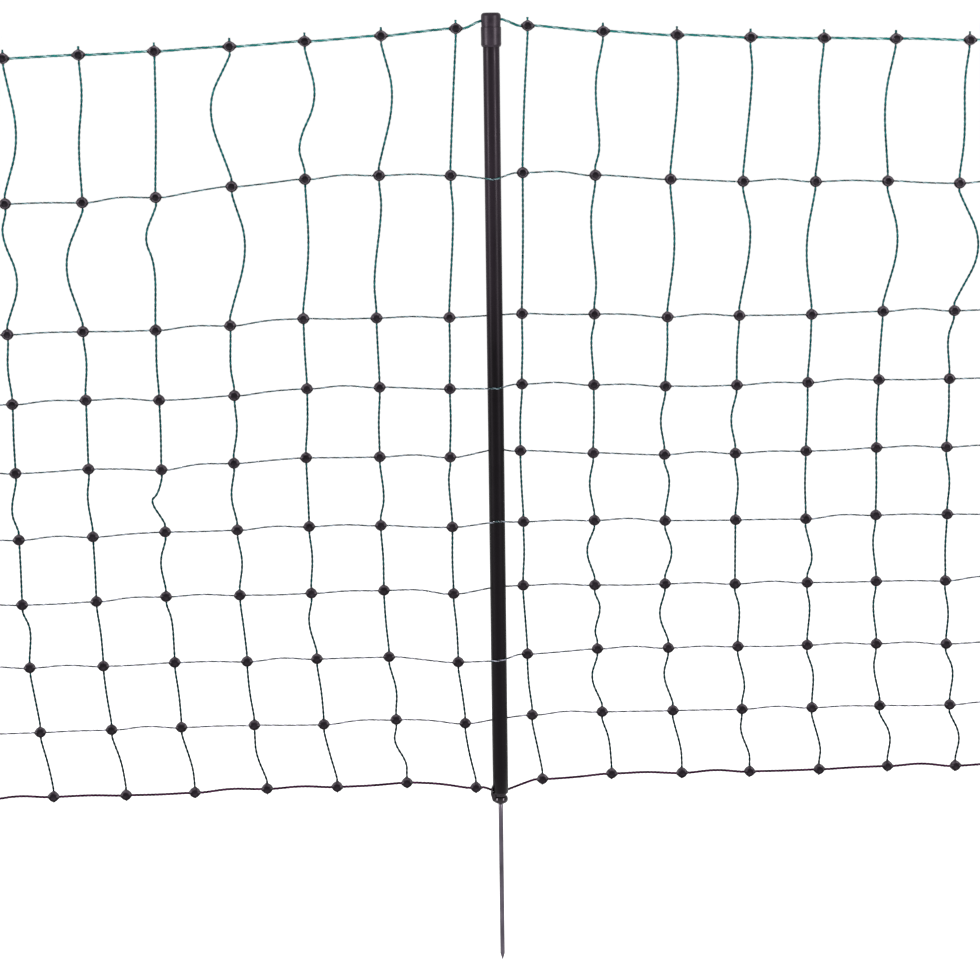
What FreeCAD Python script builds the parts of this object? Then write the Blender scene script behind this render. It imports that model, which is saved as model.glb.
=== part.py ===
"""Electric poultry netting: one line post and the two net wings tied to it.

Millimetres. X runs along the net, +Z is up, and the front of the net faces -Y.
The origin is on the post's axis at the underside of its foot, which is ground level,
so the spike lies below z = 0.
"""
import FreeCAD, Part
import math
import os

Vector = FreeCAD.Vector
AXIS_X = Vector(1, 0, 0)
AXIS_Y = Vector(0, 1, 0)
AXIS_Z = Vector(0, 0, 1)

# Post
TUBE_RADIUS = 11.2
TUBE_WALL = 2.0
TUBE_BOTTOM = 18.4
TUBE_TOP = 1097.0
PLUG_RADIUS = TUBE_RADIUS - TUBE_WALL
SPIKE_RADIUS = 3.35
SPIKE_SHANK_RADIUS = 3.0
SPIKE_CLEARANCE = 0.03
SPIKE_SHANK_TOP = 52.0
SPIKE_SHOULDER = -231.0
SPIKE_TIP = -240.6
SPIKE_TIP_RADIUS = 0.5
FOOT_PLUG_TOP = 60.0
FOOT_ARM_TIP = 28.0

# Cap
SLEEVE_RADIUS = 13.7
SLEEVE_CLEARANCE = 0.03
SLEEVE_BOTTOM = 1072.0
SLEEVE_TOP = 1098.4
CAP_BOTTOM = 1098.6
CAP_TOP = 1117.0
CAP_RADIUS = 13.35
CAP_BOTTOM_RADIUS = 12.9
CAP_BORE_RADIUS = 11.0
CAP_ROOF = 1112.0
CAP_EDGE_ROUND = 4.6
SEAT_BOTTOM = 1060.0
SEAT_STEM_RADIUS = 10.4
SEAT_STEM_TOP = 1111.2
LINE_SLOT_WIDTH = 4.6

# Net
SIDES = {"left": -1, "right": 1}
ROWS = 10
COLUMNS = 8
PITCH = 100.0
ROW_HEIGHTS = (1098, 904, 710, 611.5, 515.5, 417.5, 322.5, 225, 131.5, 37)
ROW_LEAN = (0.7, -7.3, -12.2, -13.2, -14.3, -13, -12.8, -7.8, -0.8, 12.7)
ROW_SAG = {
    "left": (31.5, 30, 12.5, 9, 10.5, 4, 4.5, 0, 3, 5.5),
    "right": (26, 25.5, 9, 6.5, 8.5, 8, 6.5, 1, 1.5, -0.5),
}
POST_HEIGHTS = (1107.5, 896, 707.5, 609, 519, 420.5, 320, 218, 124, 13)
ROWS_IN_FRONT_OF_POST = (2, 4, 6, 8)
# Knots that hang well off their row's even curve, as (side, row, column): lift.
KNOT_LIFT = {
    ("left", 1, 1): -2, ("left", 1, 5): 1.5, ("left", 1, 7): -1.5,
    ("left", 2, 1): -2, ("left", 2, 2): 7.5, ("left", 2, 3): 9.5, ("left", 2, 4): 8.5,
    ("left", 2, 6): -3.5, ("left", 3, 1): -1.5, ("left", 3, 2): 1.5, ("left", 3, 3): 6,
    ("left", 3, 4): 2, ("left", 3, 5): -2, ("left", 4, 1): -3.5, ("left", 4, 2): 2.5,
    ("left", 4, 3): 6.5, ("left", 4, 5): -3.5, ("left", 4, 6): 1.5, ("left", 4, 7): -2.5,
    ("left", 5, 1): -5, ("left", 5, 2): 2, ("left", 5, 3): 6, ("left", 5, 4): 1,
    ("left", 5, 5): -3, ("left", 5, 6): 2, ("left", 5, 7): -2.5, ("left", 6, 1): -6.5,
    ("left", 6, 2): 1, ("left", 6, 3): 1.5, ("left", 6, 5): 2, ("left", 6, 6): -3.5,
    ("left", 6, 7): -5, ("left", 7, 1): -7, ("left", 7, 2): 1.5, ("left", 7, 4): 2.5,
    ("left", 7, 5): 3.5, ("left", 7, 6): -1.5, ("left", 7, 7): -1.5, ("left", 8, 1): -10,
    ("left", 8, 2): -1, ("left", 8, 6): -1.5, ("left", 9, 1): -9, ("left", 9, 3): -1.5,
    ("left", 9, 6): 1.5, ("left", 10, 1): -12, ("left", 10, 2): 1.5,
    ("right", 1, 1): 2, ("right", 1, 2): -1, ("right", 1, 3): -2,
    ("right", 2, 6): 3, ("right", 3, 3): -3, ("right", 3, 4): -3, ("right", 3, 5): -2,
    ("right", 3, 6): 2.5, ("right", 4, 3): -3.5, ("right", 4, 4): -4, ("right", 4, 6): 1.5,
    ("right", 5, 1): 3, ("right", 5, 3): -4.5, ("right", 5, 4): -2.5, ("right", 5, 6): 1.5,
    ("right", 5, 7): 1.5, ("right", 6, 3): -1.5, ("right", 6, 5): -1.5, ("right", 6, 6): 2,
    ("right", 6, 7): 2.5, ("right", 7, 1): 2, ("right", 7, 3): 2, ("right", 7, 5): -1.5,
    ("right", 7, 7): -2, ("right", 8, 1): -2.5, ("right", 8, 2): 3, ("right", 8, 3): 2.5,
    ("right", 8, 7): -5, ("right", 9, 2): 3.5, ("right", 9, 3): 1.5, ("right", 9, 5): 1,
    ("right", 9, 7): -2.5, ("right", 10, 1): -1, ("right", 10, 2): 4, ("right", 10, 7): -1.5,
}
# Knots that sit well off their column, as (side, row, column): shift to +X.
KNOT_SHIFT = {
    ("left", 1, 1): 2, ("left", 1, 2): 2, ("left", 2, 2): 3, ("left", 2, 3): 3,
    ("left", 2, 4): 4, ("left", 2, 5): 1.5, ("left", 2, 6): 3, ("left", 3, 5): -1.5,
    ("left", 3, 7): -2, ("left", 4, 2): 3, ("left", 4, 3): 3, ("left", 4, 4): 3,
    ("left", 5, 2): 2, ("left", 6, 7): -2, ("left", 7, 2): 2, ("left", 7, 5): -3,
    ("left", 7, 7): -3, ("left", 8, 2): 2, ("left", 8, 4): 1.5, ("left", 8, 7): -2.5,
    ("left", 9, 1): 1.5, ("left", 9, 2): 3, ("left", 9, 4): 1.5, ("left", 9, 5): -1.5,
    ("left", 10, 1): 2, ("left", 10, 2): 3, ("left", 10, 3): 3, ("left", 10, 4): 3,
    ("left", 10, 6): 2.5,
    ("right", 1, 1): -1.5, ("right", 1, 6): -1.5, ("right", 2, 1): -2, ("right", 2, 2): -3,
    ("right", 3, 3): 1.5, ("right", 3, 4): 1.5, ("right", 3, 5): 2.5, ("right", 3, 6): 2.5,
    ("right", 3, 7): 3, ("right", 5, 1): -2, ("right", 6, 7): 2.5, ("right", 7, 1): -1.5,
    ("right", 7, 5): 3.5, ("right", 7, 6): 2.5, ("right", 7, 7): 2.5, ("right", 8, 1): -1.5,
    ("right", 8, 2): -1.5, ("right", 8, 7): 1.5, ("right", 9, 1): -2.5, ("right", 9, 2): -2,
    ("right", 9, 5): 1.5, ("right", 9, 7): 2.5, ("right", 10, 1): -2, ("right", 10, 2): -2,
    ("right", 10, 4): -1.5,
}
KNOT_RIPPLE = 1.0

# Slack in the uprights: side, column, span below row n: (share of the way down, bow to +X).
SLACK = {
    ("left", 1, 2): ((0.25, 4),), ("left", 1, 5): ((0.25, -3),),
    ("left", 2, 1): ((0.42, 17),), ("left", 2, 2): ((0.2, 4), (0.75, -4)),
    ("left", 2, 5): ((0.65, 5),), ("left", 2, 8): ((0.55, 5),),
    ("left", 2, 9): ((0.3, -7), (0.75, 3)),
    ("left", 3, 1): ((0.4, 15), (0.78, -9)), ("left", 3, 2): ((0.5, 6),),
    ("left", 3, 6): ((0.45, 3),), ("left", 3, 7): ((0.42, -7),),
    ("left", 4, 1): ((0.42, -28),), ("left", 4, 2): ((0.42, 20),),
    ("left", 4, 3): ((0.65, -3),), ("left", 4, 4): ((0.5, 4),),
    ("left", 4, 5): ((0.5, -6),), ("left", 4, 6): ((0.5, 5),), ("left", 4, 9): ((0.45, -5),),
    ("left", 5, 2): ((0.27, -14), (0.5, 0)), ("left", 5, 5): ((0.36, -6), (0.5, -15)),
    ("left", 5, 6): ((0.45, -7),), ("left", 5, 7): ((0.3, 4),), ("left", 5, 9): ((0.65, 3),),
    ("left", 6, 1): ((0.25, 3), (0.6, -3)), ("left", 6, 2): ((0.47, -23),),
    ("left", 6, 3): ((0.45, 3),), ("left", 6, 5): ((0.4, -4),), ("left", 6, 9): ((0.5, 3),),
    ("left", 7, 1): ((0.55, 17),), ("left", 7, 2): ((0.2, -6), (0.6, 16)),
    ("left", 7, 3): ((0.5, -3),), ("left", 7, 5): ((0.62, -8),), ("left", 7, 7): ((0.35, 7),),
    ("left", 8, 1): ((0.5, -12),), ("left", 8, 2): ((0.4, 9),), ("left", 8, 6): ((0.5, 4),),
    ("right", 2, 1): ((0.35, -7), (0.85, 5)), ("right", 2, 2): ((0.3, -6), (0.8, 3)),
    ("right", 2, 3): ((0.3, -4),), ("right", 2, 5): ((0.45, -6),),
    ("right", 2, 6): ((0.45, -11),), ("right", 2, 7): ((0.3, 7), (0.8, -3)),
    ("right", 2, 8): ((0.45, -11),), ("right", 2, 9): ((0.4, 4),),
    ("right", 3, 1): ((0.35, 5),), ("right", 3, 2): ((0.48, 8),),
    ("right", 3, 4): ((0.5, -6),), ("right", 3, 5): ((0.35, 7),),
    ("right", 3, 6): ((0.5, 10),), ("right", 3, 7): ((0.48, -10),),
    ("right", 3, 8): ((0.42, -9),), ("right", 3, 9): ((0.65, 3),),
    ("right", 4, 1): ((0.22, 5),), ("right", 4, 2): ((0.38, 13),),
    ("right", 4, 4): ((0.5, -7),), ("right", 4, 5): ((0.45, 4),),
    ("right", 4, 7): ((0.33, 5),), ("right", 4, 8): ((0.65, 6),),
    ("right", 4, 9): ((0.3, -5), (0.8, 2)),
    ("right", 5, 1): ((0.35, -3), (0.75, 3)), ("right", 5, 2): ((0.48, -10),),
    ("right", 5, 6): ((0.65, 8),), ("right", 5, 7): ((0.33, 4),),
    ("right", 5, 8): ((0.42, 6),), ("right", 5, 9): ((0.72, 5),),
    ("right", 6, 1): ((0.42, -10),), ("right", 6, 2): ((0.45, 18),),
    ("right", 6, 6): ((0.38, -4),), ("right", 6, 7): ((0.35, -4),),
    ("right", 6, 8): ((0.35, -5),), ("right", 6, 9): ((0.48, 10),),
    ("right", 7, 1): ((0.25, -3), (0.7, 3)), ("right", 7, 2): ((0.5, 32),),
    ("right", 7, 3): ((0.35, -6),), ("right", 7, 5): ((0.5, 4),),
    ("right", 7, 7): ((0.5, 4),), ("right", 7, 8): ((0.4, 8),), ("right", 7, 9): ((0.5, 10),),
    ("right", 8, 1): ((0.5, 14),), ("right", 8, 2): ((0.45, -12),), ("right", 8, 7): ((0.5, -5),),
}
BOW_ROUNDING = 1.15
SMALL_BOW = 1.3

# Strands
TOP_LINE_RADIUS = 1.65
LINE_RADIUS = 1.1
BOTTOM_LINE_RADIUS = 1.7
UPRIGHT_RADIUS = 1.35
STRAND_GAP = 0.06
UPRIGHT_Y = UPRIGHT_RADIUS + STRAND_GAP
CHANNEL_CLEARANCE = 0.03
KNOT_RUN = 13.0
SPAN_JOINT = 9.6
KNOT_ARC_REACH = 3.3
CORNER_SHARE = 0.45
POST_WRAP_SHARE = 0.98
LEAST_TURN = math.radians(0.05)
POST_CLEARANCE = 0.3
CAP_LINE_HALF_RUN = 14.5
CAP_LINE_RISE = 1.2
TAIL_ABOVE = 11.3
TAIL_BELOW = 9.2
LINE_TAIL = 22.0

# Knots: row whose line they hold, half width, half height and disc radius
KNOT_SIZES = {
    "top": (1, 9.2, 7.6, 7.3),
    "middle": (2, 8.4, 7.9, 7.5),
    "bottom": (ROWS, 8.3, 7.9, 7.3),
}
KNOT_ROWS = {"top": (1,), "middle": range(2, ROWS), "bottom": (ROWS,)}
KNOT_FRONT_WALL = 1.3
KNOT_BACK_WALL = 1.1
KNOT_EDGE_SHARE = 0.34
COLLAR_START_SHARE = 0.55
COLLAR_WALL = 0.7
COLLAR_FLARE = 1.8
RING_INNER_RADIUS = 3.4
RING_OUTER_RADIUS = 4.2
RING_DEPTH = 0.5


def line_radius(row):
    if row == 1:
        return TOP_LINE_RADIUS
    if row == ROWS:
        return BOTTOM_LINE_RADIUS
    return LINE_RADIUS


def line_y(row):
    """Lines pass through a knot in front of the upright."""
    return -(line_radius(row) + STRAND_GAP)


def knot_x(side, row, column):
    shift = KNOT_SHIFT.get((side, row, column), 0)
    return SIDES[side] * PITCH * (column - 0.5) + ROW_LEAN[row - 1] + shift


def knot_z(side, row, column):
    """A line sags fast beside the post and levels out towards the wing's end."""
    share_left = 1 - (column - 1) / (COLUMNS - 1)
    sag = ROW_SAG[side][row - 1] * (1 - share_left ** 2)
    ripple = KNOT_RIPPLE * math.sin(2.1 * column + 1.3 * row + SIDES[side])
    return ROW_HEIGHTS[row - 1] - sag + ripple + KNOT_LIFT.get((side, row, column), 0)


def line_lift(side, row, column):
    """How far a line bows up midway between a column's knot and the next one out."""
    if row == 1:
        return 0.4 * math.sin(2.3 * column + SIDES[side])
    return 1.4 + 2.2 * math.sin(1.9 * column + 2.7 * row + 0.8 * SIDES[side])


def upright_bows(side, column, row):
    """The bows of an upright in the span below a row."""
    small = SMALL_BOW * math.sin(2.7 * column + 1.7 * row + SIDES[side])
    return SLACK.get((side, column, row), ((0.5, small),))


# Routes: lists of (point, reach), where reach limits how far a bend eats into its runs.

def upright_route(side, column):
    x_top = knot_x(side, 1, column)
    z_top = knot_z(side, 1, column)
    route = [(Vector(x_top, UPRIGHT_Y, z_top + TAIL_ABOVE), None)]
    for row in range(1, ROWS):
        start = Vector(knot_x(side, row, column), UPRIGHT_Y, knot_z(side, row, column) - KNOT_RUN)
        end = Vector(knot_x(side, row + 1, column), UPRIGHT_Y,
                     knot_z(side, row + 1, column) + KNOT_RUN)
        route.append((start, KNOT_ARC_REACH))
        for share, bow in upright_bows(side, column, row):
            point = start + (end - start) * share
            route.append((point + AXIS_X * bow * BOW_ROUNDING, None))
        route.append((end, KNOT_ARC_REACH))
    x_low = knot_x(side, ROWS, column)
    z_low = knot_z(side, ROWS, column)
    route.append((Vector(x_low, UPRIGHT_Y, z_low - TAIL_BELOW), None))
    return route


def line_route(side, row):
    """From the knot beside the post out to the cut tail past the last column."""
    way = SIDES[side]
    y = line_y(row)
    first = Vector(knot_x(side, row, 1) - way * SPAN_JOINT, y, knot_z(side, row, 1))
    route = [(first, None)]
    for column in range(1, COLUMNS):
        start = Vector(knot_x(side, row, column) + way * KNOT_RUN, y, knot_z(side, row, column))
        end = Vector(knot_x(side, row, column + 1) - way * KNOT_RUN, y,
                     knot_z(side, row, column + 1))
        middle = (start + end) * 0.5 + AXIS_Z * line_lift(side, row, column) * BOW_ROUNDING
        route.append((start, KNOT_ARC_REACH))
        route.append((middle, None))
        route.append((end, KNOT_ARC_REACH))
    last = Vector(knot_x(side, row, COLUMNS) + way * LINE_TAIL, y, knot_z(side, row, COLUMNS))
    route.append((last, None))
    return route


def tangent_corner(distance, offset, radius):
    """Where a line from a point beside a circle, tangent to it, meets the tangent at its top."""
    corner = 0.0
    for _ in range(20):
        turn = math.atan2(radius - offset, distance - corner)
        corner = radius * math.tan(turn / 2)
    return corner


def post_span_route(side, row):
    """From the first knot to the middle of the post, past its front, its back or its top."""
    way = SIDES[side]
    y = line_y(row)
    first = Vector(knot_x(side, row, 1) - way * SPAN_JOINT, y, knot_z(side, row, 1))
    start = Vector(knot_x(side, row, 1) - way * KNOT_RUN, y, knot_z(side, row, 1))
    route = [(first, None), (start, KNOT_ARC_REACH)]
    z_post = POST_HEIGHTS[row - 1]
    if row == 1:
        bend = Vector(way * CAP_LINE_HALF_RUN, 0, z_post + way * CAP_LINE_RISE)
        return route + [(bend, KNOT_ARC_REACH), (Vector(0, 0, z_post), None)]
    y_way = -1 if row in ROWS_IN_FRONT_OF_POST else 1
    radius = TUBE_RADIUS + line_radius(row) + POST_CLEARANCE
    corner = tangent_corner(abs(start.x), y_way * start.y, radius)
    bend = Vector(way * corner, y_way * radius, z_post)
    middle = Vector(0, y_way * radius, z_post)
    return route + [(bend, corner * POST_WRAP_SHARE), (middle, None)]


# Tubes: straight runs joined by tangent arcs.

def bend_edges(before, corner, after, reach):
    """The arc that rounds a corner, and the ends that its runs keep, or None for no turn."""
    to_before = (before - corner).normalize()
    to_after = (after - corner).normalize()
    half_turn = (math.pi - to_before.getAngle(to_after)) / 2
    if half_turn < LEAST_TURN:
        return None
    radius = reach / math.tan(half_turn)
    towards = (to_before + to_after).normalize()
    top = corner + towards * radius * (1 / math.cos(half_turn) - 1)
    start = corner + to_before * reach
    end = corner + to_after * reach
    return Part.Arc(start, top, end).toShape(), start, end


def route_wire(route):
    points = [point for point, _ in route]
    edges = []
    at = points[0]
    for i in range(1, len(points) - 1):
        runs = ((points[i] - points[i - 1]).Length, (points[i + 1] - points[i]).Length)
        limit = route[i][1]
        reach = CORNER_SHARE * min(runs) if limit is None else min(limit, min(runs))
        bend = bend_edges(points[i - 1], points[i], points[i + 1], reach)
        if bend is None:
            continue
        arc, start, end = bend
        edges.append(Part.LineSegment(at, start).toShape())
        edges.append(arc)
        at = end
    edges.append(Part.LineSegment(at, points[-1]).toShape())
    return Part.Wire(edges)


def tube(route, radius, name):
    """A round strand along a route, checked against its section times its length."""
    wire = route_wire(route)
    direction = route[1][0] - route[0][0]
    ring = Part.Wire(Part.makeCircle(radius, route[0][0], direction))
    strand = wire.makePipeShell([ring], True, False)
    expected = math.pi * radius ** 2 * wire.Length
    if not strand.isValid() or abs(strand.Volume / expected - 1) > 0.01:
        raise ValueError(name + " strand is not a clean tube")
    return strand.Solids[0]


# Knots: moulded over each crossing.

def cone_collar(direction, centre, inner_radius, outer_radius, start, end):
    return Part.makeCone(inner_radius, outer_radius, end - start,
                         centre + direction * start, direction)


def knot_body(row, half_width, half_height, disc_radius):
    """A rounded disc with a tapering collar round each strand's way in and out."""
    front = -(2 * line_radius(row) + STRAND_GAP + KNOT_FRONT_WALL)
    back = 2 * UPRIGHT_RADIUS + STRAND_GAP + KNOT_BACK_WALL
    depth = back - front
    body = Part.makeCylinder(disc_radius, depth, Vector(0, front, 0), AXIS_Y)
    body = body.makeFillet(depth * KNOT_EDGE_SHARE, body.Edges)
    strands = (
        (AXIS_X, line_y(row), line_radius(row), half_width),
        (AXIS_Z, UPRIGHT_Y, UPRIGHT_RADIUS, half_height),
    )
    collars = []
    for axis, y, radius, end in strands:
        mouth = radius + COLLAR_WALL
        for way in (-1, 1):
            collars.append(cone_collar(axis * way, Vector(0, y, 0), mouth + COLLAR_FLARE, mouth,
                                       disc_radius * COLLAR_START_SHARE, end))
    body = body.multiFuse(collars)
    place = Vector(0, front, 0)
    ring = Part.makeCylinder(RING_OUTER_RADIUS, RING_DEPTH, place, AXIS_Y)
    ring = ring.cut(Part.makeCylinder(RING_INNER_RADIUS, RING_DEPTH, place, AXIS_Y))
    return body.cut(ring)


def knot(kind):
    row, half_width, half_height, disc_radius = KNOT_SIZES[kind]
    body = knot_body(row, half_width, half_height, disc_radius)
    reach = 2 * half_width
    line_hole = Part.makeCylinder(line_radius(row) + CHANNEL_CLEARANCE, 2 * reach,
                                  Vector(-reach, line_y(row), 0), AXIS_X)
    upright_hole = Part.makeCylinder(UPRIGHT_RADIUS + CHANNEL_CLEARANCE, 2 * reach,
                                     Vector(0, UPRIGHT_Y, -reach), AXIS_Z)
    return body.cut(line_hole).cut(upright_hole).Solids[0]


def placed_knots(shape, side, rows):
    knots = []
    for row in rows:
        for column in range(1, COLUMNS + 1):
            place = Vector(knot_x(side, row, column), 0, knot_z(side, row, column))
            knots.append(shape.translated(place))
    return Part.makeCompound(knots)


# Post

def turned(profile):
    """A solid turned about Z from (radius, height) points."""
    points = [Vector(radius, 0, height) for radius, height in profile]
    face = Part.Face(Part.makePolygon(points + points[:1]))
    return face.revolve(Vector(0, 0, 0), AXIS_Z, 360).Solids[0]


def post_tube():
    length = TUBE_TOP - TUBE_BOTTOM
    outer = Part.makeCylinder(TUBE_RADIUS, length, Vector(0, 0, TUBE_BOTTOM))
    return outer.cut(Part.makeCylinder(PLUG_RADIUS, length, Vector(0, 0, TUBE_BOTTOM)))


def spike():
    return turned((
        (0, SPIKE_TIP), (SPIKE_TIP_RADIUS, SPIKE_TIP), (SPIKE_RADIUS, SPIKE_SHOULDER),
        (SPIKE_RADIUS, 0), (SPIKE_SHANK_RADIUS, 0), (SPIKE_SHANK_RADIUS, SPIKE_SHANK_TOP),
        (0, SPIKE_SHANK_TOP),
    ))


def foot_arm():
    """The arm beside the tube that keeps the bottom line against the post."""
    gap = TUBE_RADIUS + POST_CLEARANCE
    outline = (
        (-7.5, 3.5), (-11.8, 5.8), (-14.4, 15.5), (-13.7, 21.5), (-12.6, FOOT_ARM_TIP),
        (-gap, FOOT_ARM_TIP - 1), (-gap, TUBE_BOTTOM - 1.5), (-7.5, TUBE_BOTTOM - 1.5),
    )
    points = [Vector(x, -5, z) for x, z in outline]
    arm = Part.Face(Part.makePolygon(points + points[:1])).extrude(Vector(0, 7.5, 0))
    upright_edges = [edge for edge in arm.Edges if edge.BoundBox.YLength < 0.01
                     and edge.BoundBox.XMax < -gap - 0.1]
    return arm.makeFillet(0.8, upright_edges)


def foot():
    bore = SPIKE_SHANK_RADIUS + SPIKE_CLEARANCE
    body = turned((
        (SPIKE_RADIUS, 0), (4.6, 0), (7.6, 3.0), (7.6, 11.5), (8.2, 12.5), (8.2, 15.4),
        (TUBE_RADIUS - 0.3, 17.0), (TUBE_RADIUS - 0.3, TUBE_BOTTOM),
        (PLUG_RADIUS, TUBE_BOTTOM), (PLUG_RADIUS, FOOT_PLUG_TOP - 2),
        (PLUG_RADIUS - 1.2, FOOT_PLUG_TOP), (0, FOOT_PLUG_TOP), (0, SPIKE_SHANK_TOP),
        (bore, SPIKE_SHANK_TOP), (bore, 0.4), (SPIKE_RADIUS, 0.0),
    ))
    lump = turned((
        (SPIKE_RADIUS + 0.6, 0.6), (5.6, 0.6), (9.6, 3.4), (10.6, 5.6), (10.7, 8.2),
        (9.9, 10.6), (8.4, 11.9), (SPIKE_RADIUS + 0.6, 11.9),
    ))
    return body.multiFuse([lump, foot_arm()]).removeSplitter().Solids[0]


def cap_sleeve():
    bore = TUBE_RADIUS + SLEEVE_CLEARANCE
    return turned((
        (bore, SLEEVE_BOTTOM), (SLEEVE_RADIUS - 1.3, SLEEVE_BOTTOM),
        (SLEEVE_RADIUS - 0.1, SLEEVE_BOTTOM + 2.6), (SLEEVE_RADIUS, SLEEVE_BOTTOM + 3.4),
        (SLEEVE_RADIUS - 0.15, SLEEVE_BOTTOM + 9), (SLEEVE_RADIUS, SLEEVE_TOP - 0.6),
        (SLEEVE_RADIUS - 0.4, SLEEVE_TOP), (bore, SLEEVE_TOP),
    ))


def line_seat():
    """The plug in the tube's top, with the groove that the top line lies in."""
    seat = turned((
        (0, SEAT_BOTTOM), (PLUG_RADIUS - 1, SEAT_BOTTOM), (PLUG_RADIUS, SEAT_BOTTOM + 2),
        (PLUG_RADIUS, TUBE_TOP), (TUBE_RADIUS, TUBE_TOP), (TUBE_RADIUS, SLEEVE_TOP),
        (SEAT_STEM_RADIUS, SLEEVE_TOP), (SEAT_STEM_RADIUS, SEAT_STEM_TOP - 1),
        (SEAT_STEM_RADIUS - 1, SEAT_STEM_TOP), (0, SEAT_STEM_TOP),
    ))
    return seat.cut(line_slot(TOP_LINE_RADIUS + CHANNEL_CLEARANCE, POST_HEIGHTS[0], CAP_TOP))


def line_slot(half_width, low, high):
    """A slot along X, tilted as the top line is, with a round end at low and open to high."""
    length = 4 * TUBE_RADIUS
    box = Part.makeBox(length, 2 * half_width, abs(high - low),
                       Vector(-length / 2, -half_width, min(low, high)))
    end = Part.makeCylinder(half_width, length, Vector(-length / 2, 0, low), AXIS_X)
    slot = box.fuse(end)
    tilt = math.degrees(math.atan2(CAP_LINE_RISE, CAP_LINE_HALF_RUN))
    slot.rotate(Vector(0, 0, low), AXIS_Y, -tilt)
    return slot


def top_cap():
    shell = turned((
        (0, CAP_BOTTOM), (CAP_BOTTOM_RADIUS, CAP_BOTTOM), (CAP_RADIUS, CAP_BOTTOM + 7),
        (CAP_RADIUS, CAP_TOP), (0, CAP_TOP),
    ))
    top_edges = [edge for edge in shell.Edges
                 if edge.BoundBox.ZMin > CAP_TOP - 0.1 and edge.BoundBox.XLength > CAP_RADIUS]
    shell = shell.makeFillet(CAP_EDGE_ROUND, top_edges)
    bore = Part.makeCylinder(CAP_BORE_RADIUS, CAP_ROOF - CAP_BOTTOM + 1,
                             Vector(0, 0, CAP_BOTTOM - 1))
    shell = shell.cut(bore)
    shell = shell.cut(line_slot(LINE_SLOT_WIDTH / 2, POST_HEIGHTS[0], CAP_BOTTOM - 4))
    return shell.removeSplitter().Solids[0]


def post_parts():
    return {
        "post_tube": post_tube(),
        "spike": spike(),
        "foot": foot(),
        "cap_sleeve": cap_sleeve(),
        "line_seat": line_seat(),
        "top_cap": top_cap(),
    }


def wing_parts(side):
    parts = {}
    for row in range(1, ROWS + 1):
        name = "{}_line_{:02d}".format(side, row)
        parts[name] = tube(line_route(side, row), line_radius(row), name)
    for column in range(1, COLUMNS + 1):
        name = "{}_upright_{}".format(side, column)
        parts[name] = tube(upright_route(side, column), UPRIGHT_RADIUS, name)
    spans = []
    for row in range(1, ROWS + 1):
        spans.append(tube(post_span_route(side, row), line_radius(row), side + " post span"))
    parts[side + "_post_spans"] = Part.makeCompound(spans)
    for kind, rows in KNOT_ROWS.items():
        parts[side + "_knots_" + kind] = placed_knots(knot(kind), side, rows)
    return parts


def write_parts(parts):
    os.makedirs("parts", exist_ok=True)
    for name, shape in parts.items():
        if not shape.isValid():
            raise ValueError(name + " is not a valid shape")
        shape.exportStep("parts/" + name + ".step")
        print(name, len(shape.Solids), "solids", round(shape.Volume, 1), "mm3")


def main():
    parts = post_parts()
    for side in SIDES:
        parts.update(wing_parts(side))
    write_parts(parts)


main()
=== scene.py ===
"""The looks of an electric poultry netting section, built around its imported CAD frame.

Layout values are in millimetres, as in the part's own source, and MM turns them into metres.
"""
import math

import bpy
import numpy as np
from mathutils import Matrix, Vector


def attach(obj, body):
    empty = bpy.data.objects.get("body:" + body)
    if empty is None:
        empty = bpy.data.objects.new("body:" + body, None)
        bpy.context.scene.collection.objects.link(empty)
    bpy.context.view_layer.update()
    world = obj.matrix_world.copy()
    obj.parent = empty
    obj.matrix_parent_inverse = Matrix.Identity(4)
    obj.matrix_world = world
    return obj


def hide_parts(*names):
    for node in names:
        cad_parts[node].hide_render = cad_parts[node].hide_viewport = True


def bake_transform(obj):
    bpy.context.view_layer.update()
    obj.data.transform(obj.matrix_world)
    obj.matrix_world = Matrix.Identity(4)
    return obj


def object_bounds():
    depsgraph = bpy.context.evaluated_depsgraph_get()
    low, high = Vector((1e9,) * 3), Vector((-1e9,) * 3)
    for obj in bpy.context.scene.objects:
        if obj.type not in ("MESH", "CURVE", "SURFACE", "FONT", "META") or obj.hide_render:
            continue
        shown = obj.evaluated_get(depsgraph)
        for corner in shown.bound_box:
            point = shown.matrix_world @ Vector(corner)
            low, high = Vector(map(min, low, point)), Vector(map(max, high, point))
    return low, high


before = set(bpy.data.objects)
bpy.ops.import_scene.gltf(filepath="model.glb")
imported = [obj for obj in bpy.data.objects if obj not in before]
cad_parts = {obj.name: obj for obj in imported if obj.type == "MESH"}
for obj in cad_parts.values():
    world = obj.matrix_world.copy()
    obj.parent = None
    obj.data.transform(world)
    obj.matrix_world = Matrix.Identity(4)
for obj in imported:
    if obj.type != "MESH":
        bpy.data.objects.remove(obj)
CAD_BOX = [list(corner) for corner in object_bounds()]

MM = 0.001

# Net layout, the same as in the part's source. The rows' heights, leans and sags are rounded
# results of a least-squares fit to measured knots.
SIDES = {"left": -1, "right": 1}
ROWS = 10
COLUMNS = 8
PITCH = 100.0
ROW_HEIGHTS = (1098, 904, 710, 611.5, 515.5, 417.5, 322.5, 225, 131.5, 37)
ROW_LEAN = (0.7, -7.3, -12.2, -13.2, -14.3, -13, -12.8, -7.8, -0.8, 12.7)
ROW_SAG = {
    "left": (31.5, 30, 12.5, 9, 10.5, 4, 4.5, 0, 3, 5.5),
    "right": (26, 25.5, 9, 6.5, 8.5, 8, 6.5, 1, 1.5, -0.5),
}
POST_HEIGHTS = (1107.5, 896, 707.5, 609, 519, 420.5, 320, 218, 124, 13)
ROWS_IN_FRONT_OF_POST = (2, 4, 6, 8)
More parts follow.
